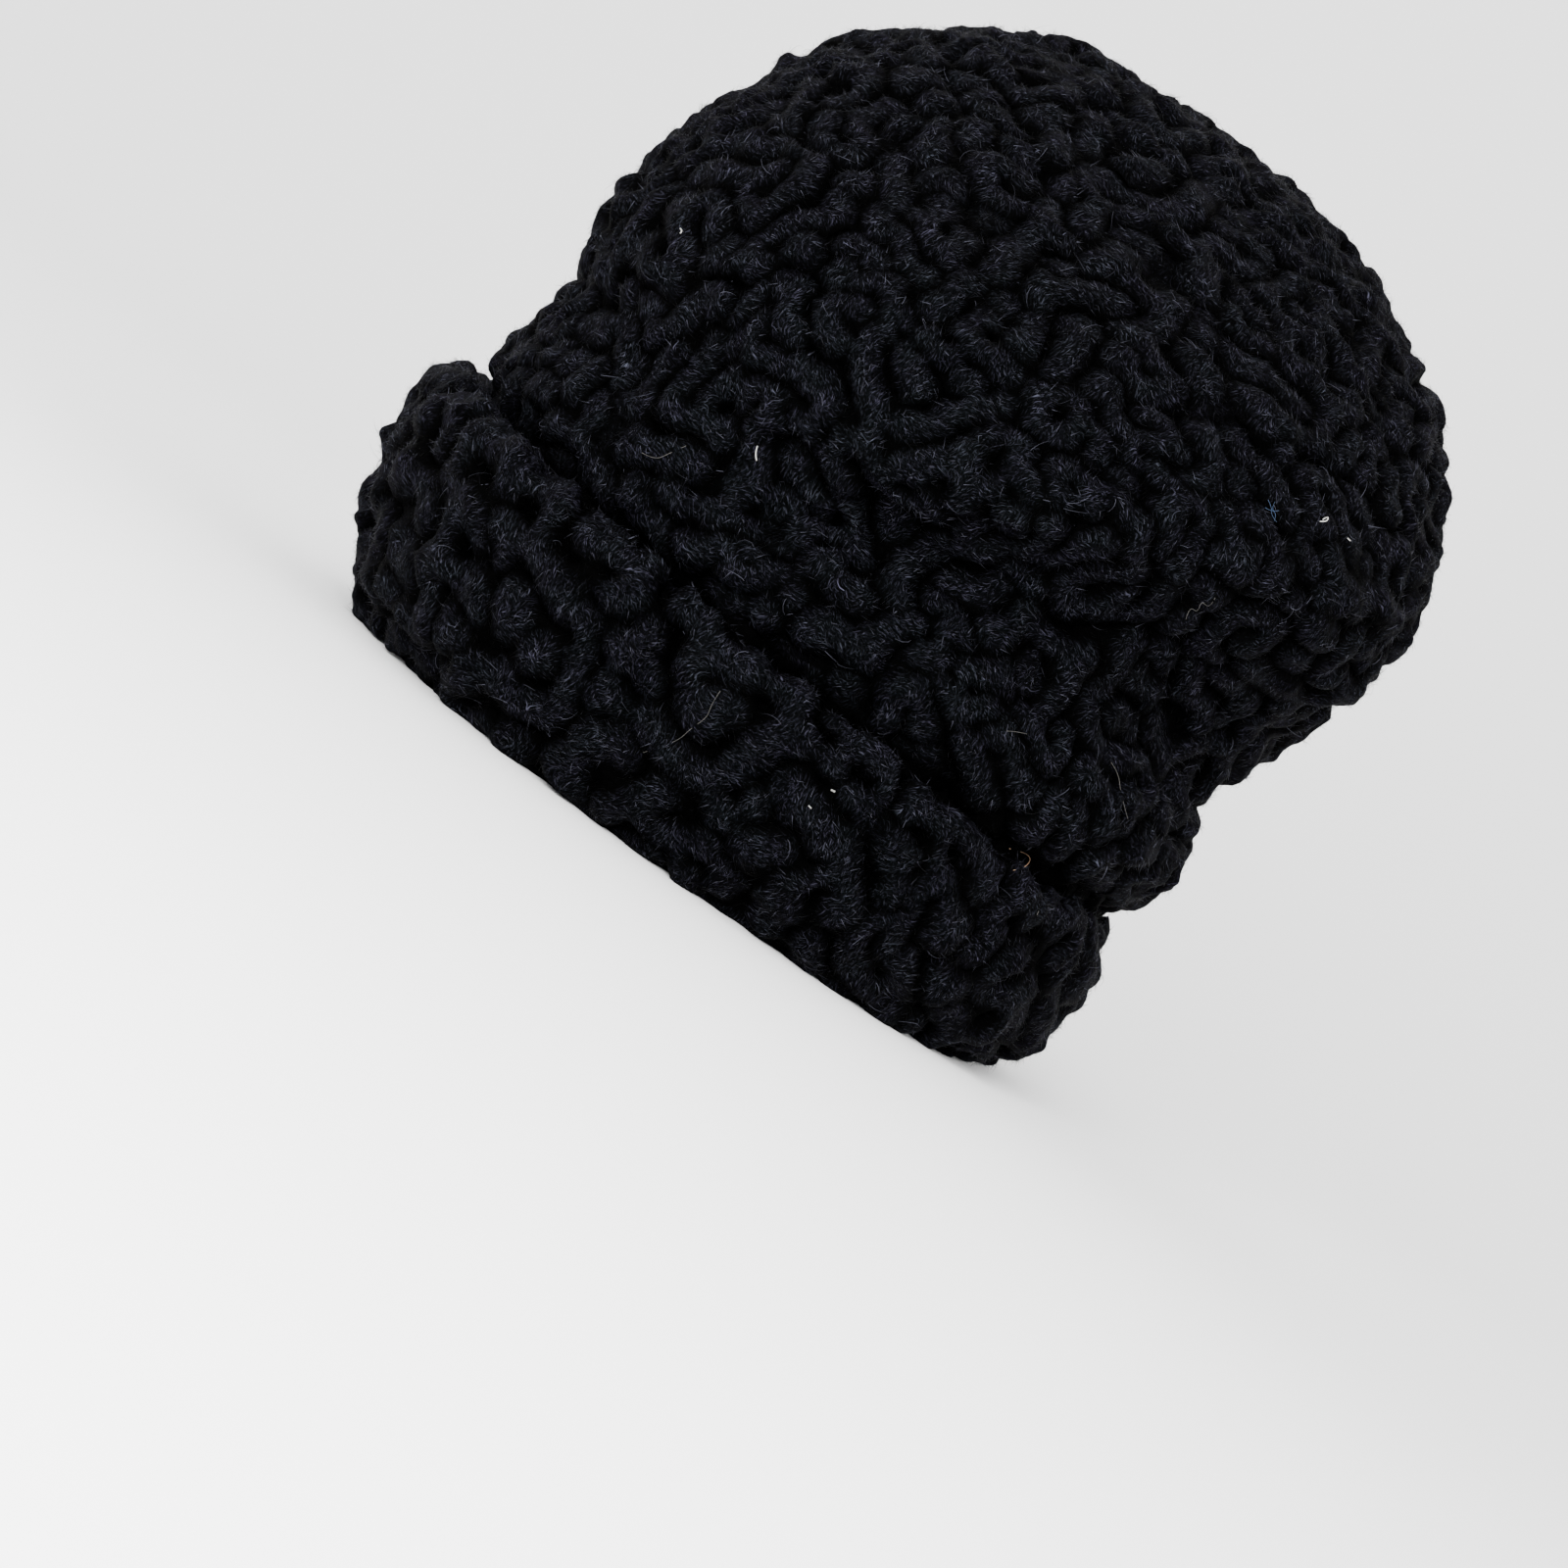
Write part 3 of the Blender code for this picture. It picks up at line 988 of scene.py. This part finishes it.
for axis, name in ((level, "COSINE"), (rising, "SINE")):
    share = node(tree, "ShaderNodeMath", {"operation": name}, angle.outputs[0]).outputs[0]
    part = node(tree, "ShaderNodeVectorMath", {"operation": "SCALE"}, axis.outputs[0], Scale=share)
    parts.append(part.outputs[0])
lie = node(tree, "ShaderNodeVectorMath", {"operation": "ADD"}, *parts).outputs[0]

coarse = streaks(tree, place, out, lie, tuft=4.4 * MM, length=3.2 * MM, width=0.25 * MM, stray=1.0)
fine = streaks(tree, place, out, lie, tuft=2.5 * MM, length=2.3 * MM, width=0.15 * MM, stray=1.6)
strands = node(tree, "ShaderNodeMath", {"operation": "MAXIMUM"}, coarse, fine)
strands = node(tree, "ShaderNodeMapRange", {"From Min": 0.45, "From Max": 0.78}, Value=strands.outputs[0])
# The light end of this ramp is painted sheen along the fibres.
blacks = {"stops": ((0.0, "#000000"), (0.50, "#050507"), (1.0, "#3f3f4b"))}
colour = node(tree, "ShaderNodeValToRGB", blacks, Fac=strands.outputs[0])
colour = shaded(tree, colour.outputs[0])
uneven = node(tree, "ShaderNodeTexNoise", {"Scale": 1 / DYE_PATCH, "Detail": 2.0}, Vector=place)
dyes = {"stops": ((0.38, "#f3fdf6"), (0.62, "#fbf5ff"))}
dye = node(tree, "ShaderNodeValToRGB", dyes, Fac=uneven.outputs["Fac"])
colour = node(tree, "ShaderNodeVectorMath", {"operation": "MULTIPLY"}, colour, dye.outputs[0])
raised = node(tree, "ShaderNodeBump", {"Strength": 0.6, "Distance": 0.25 * MM}, Height=strands.outputs[0])
tree.links.new(colour.outputs[0], shader.inputs["Base Color"])
tree.links.new(raised.outputs[0], shader.inputs["Normal"])
print(curly_pile.name, len(tree.nodes), "nodes")

# %% [markdown]
# A loose fibre is the same dyed acrylic, seen one at a time. It is smoother than the pile as a whole and
# has a little gloss of its own. Most fibres are black, and some, picked at random, are drawn lighter and
# bluish: a thin painted sheen along their length. A short fibre in a groove is darkened as painted shade.

# %% The loose fibres' material
loose_fibre, tree, shader = material("loose pile fibre", Roughness=0.45, Specular_IOR_Level=0.06)
tint = node(tree, "ShaderNodeAttribute", {"attribute_name": "tint"}).outputs["Fac"]
# The light end of this ramp is painted sheen.
blacks = {"stops": ((0.0, "#020203"), (0.7, "#0e0e11"), (1.0, "#4c4c58"))}
colour = node(tree, "ShaderNodeValToRGB", blacks, Fac=tint)
tree.links.new(shaded(tree, colour.outputs[0]), shader.inputs["Base Color"])
print(loose_fibre.name, len(tree.nodes), "nodes")

# %% [markdown]
# Inside, the cloth shows its backing: a plain weave of black cotton threads, matt and flat. The threads
# are about 0.6 mm apart on the real cloth, and are drawn 1.5 mm apart here so that they still show. One
# set runs up the wall and the other round it, so the way round is measured as the angle times the hat's
# radius. A wave texture of scale 1 has a band every pi / 10.

# %% The backing's material
THREAD = 1.5 * MM
WAVE_PERIOD = math.pi / 10
HAT_RADIUS = 0.1

cotton_backing, tree, shader = material("woven cotton backing", Roughness=0.9, Specular_IOR_Level=0.1)
place = node(tree, "ShaderNodeTexCoord", {}).outputs["Object"]
apart = node(tree, "ShaderNodeSeparateXYZ", {}, place)
around = node(tree, "ShaderNodeMath", {"operation": "ARCTAN2"}, apart.outputs[1], apart.outputs[0])
around = node(tree, "ShaderNodeMath", {"operation": "MULTIPLY", 1: HAT_RADIUS}, around.outputs[0])
where = node(tree, "ShaderNodeCombineXYZ", {}, around.outputs[0], apart.outputs[2], apart.outputs[2])
sets = []
for direction in ("X", "Y"):
    bands = {"bands_direction": direction, "Scale": WAVE_PERIOD / THREAD}
    sets.append(node(tree, "ShaderNodeTexWave", bands, where.outputs[0]).outputs["Fac"])
weave = node(tree, "ShaderNodeMath", {"operation": "MAXIMUM"}, *sets)
blacks = {"stops": ((0.0, "#060607"), (1.0, "#1b1b1e"))}
colour = node(tree, "ShaderNodeValToRGB", blacks, Fac=weave.outputs[0])
raised = node(tree, "ShaderNodeBump", {"Strength": 0.5, "Distance": 0.3 * MM}, Height=weave.outputs[0])
tree.links.new(colour.outputs[0], shader.inputs["Base Color"])
tree.links.new(raised.outputs[0], shader.inputs["Normal"])
print(cotton_backing.name, len(tree.nodes), "nodes")

# %% [markdown]
# Lint is cotton or wool from other cloth, spun or felted and rough all over. It is matt and shows its own
# colour, and it is darker in patches where black fibres lie over it.

# %% The lint's materials
LINT_PATCH = 2 * MM
LINT_COLOURS = {
    "pale_lint": "#b4b2ae",
    "loose_hairs": "#5a5753",
    "blue_fluff": "#263b58",
    "brown_thread": "#86694f",
}

for piece in LINT:
    lint, tree, shader = material("spun " + piece.name.replace("_", " "), Roughness=0.8)
    place = node(tree, "ShaderNodeTexCoord", {}).outputs["Object"]
    uneven = node(tree, "ShaderNodeTexNoise", {"Scale": 1 / LINT_PATCH, "Detail": 2.0}, Vector=place)
    shades = {"stops": ((0.0, "#2a2928"), (0.6, LINT_COLOURS[piece.name]))}
    colour = node(tree, "ShaderNodeValToRGB", shades, Fac=uneven.outputs["Fac"])
    tree.links.new(colour.outputs[0], shader.inputs["Base Color"])
    piece.data.materials.append(lint)
    print(lint.name, LINT_COLOURS[piece.name])

# %% Giving the materials
for piece in PILES:
    mesh = piece.data
    mesh.materials.clear()
    mesh.materials.append(curly_pile)
    mesh.materials.append(cotton_backing)
    corners = numbers(mesh.loops, "vertex_index", 1, np.int32)
    bare = numbers(mesh.attributes["bare"].data, "value", 1)[corners]
    bare = np.minimum.reduceat(bare, numbers(mesh.polygons, "loop_start", 1, np.int32))
    mesh.polygons.foreach_set("material_index", (bare > 0.5).astype(np.int32))
    print(piece.name, int((bare > 0.5).sum()), "faces of backing")
for piece in FIBRE_PIECES:
    piece.data.materials.append(loose_fibre)

# %% [markdown]
# ## Floor and light
#
# The floor runs up behind the hat in one wide curve, as a photographer's paper does, so that no horizon
# shows. It is a plane whose back edge is extruded upwards, and the corner between the two is bevelled
# round.

# %% Floor
FLOOR_SIZE = 6.0
FLOOR_BEHIND = 2.0
BACKDROP_HEIGHT = 3.0
SWEEP = 1.4
SWEEP_FACES = 32
NEARLY = 0.1


def select_back_edge(piece):
    """Selects only the floor's own edge behind the hat, and leaves the piece in edit mode."""
    bpy.ops.mesh.select_all(action="DESELECT")
    bpy.ops.object.mode_set(mode="OBJECT")
    places = [vertex.co for vertex in piece.data.vertices]
    behind = [place.x < NEARLY - FLOOR_BEHIND and place.z < NEARLY for place in places]
    for line in piece.data.edges:
        line.select = all(behind[index] for index in line.vertices)
    bpy.ops.object.mode_set(mode="EDIT")


bpy.ops.object.select_all(action="DESELECT")
bpy.ops.mesh.primitive_plane_add(size=FLOOR_SIZE, location=(FLOOR_SIZE / 2 - FLOOR_BEHIND, 0.0, 0.0))
bpy.ops.object.transform_apply(location=True)
floor = bpy.context.object
floor.name = "floor"
edit(floor, mode="EDGE")
select_back_edge(floor)
bpy.ops.mesh.extrude_region_move(TRANSFORM_OT_translate={"value": (0.0, 0.0, BACKDROP_HEIGHT)})
select_back_edge(floor)
bpy.ops.mesh.bevel(offset=SWEEP, segments=SWEEP_FACES, affect="EDGES")
bpy.ops.object.mode_set(mode="OBJECT")
bpy.ops.object.shade_smooth()
paper, tree, shader = material("pale paper", Base_Color=linear("#f8f8f8"), Roughness=0.9)
floor.data.materials.append(paper)
print("floor", len(floor.data.polygons), "faces")

# %% [markdown]
# White surroundings light the hat softly from all sides. One soft round lamp near the camera, above it as
# the picture is held, brings out the crests of the curls against their grooves.

# %% Light
SURROUNDINGS = 2.4
KEY_DISTANCE = 1.2
KEY_SIZE = 0.6
KEY_POWER = 33

world = bpy.data.worlds.new("studio")
bpy.context.scene.world = world
world.use_nodes = True
background = world.node_tree.nodes["Background"]
background.inputs["Color"].default_value = linear("#ffffff")
background.inputs["Strength"].default_value = SURROUNDINGS
key_from = 0.30 * view_up + 0.80 * toward
bpy.ops.object.light_add(type="AREA", location=VIEW_MIDDLE + key_from.normalized() * KEY_DISTANCE)
key = bpy.context.object
key.name = "key"
key.data.shape = "DISK"
key.data.size = KEY_SIZE
key.data.energy = KEY_POWER
key.rotation_euler = key_from.to_track_quat("Z", "Y").to_euler()
print("key light at", key.location.to_tuple(2))

# %% Hand over
REPLACED = {"crown_side_pile": "crown_side", "crown_top_pile": "crown_top", "cuff_pile": "cuff"}

for piece in (*PILES, *FIBRE_PIECES, *LINT):
    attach(piece, "root")
for name, cad_node in REPLACED.items():
    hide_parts(cad_node)
print("triangles in all", sum(triangles(piece) for piece in (*PILES, *FIBRE_PIECES, *LINT)))
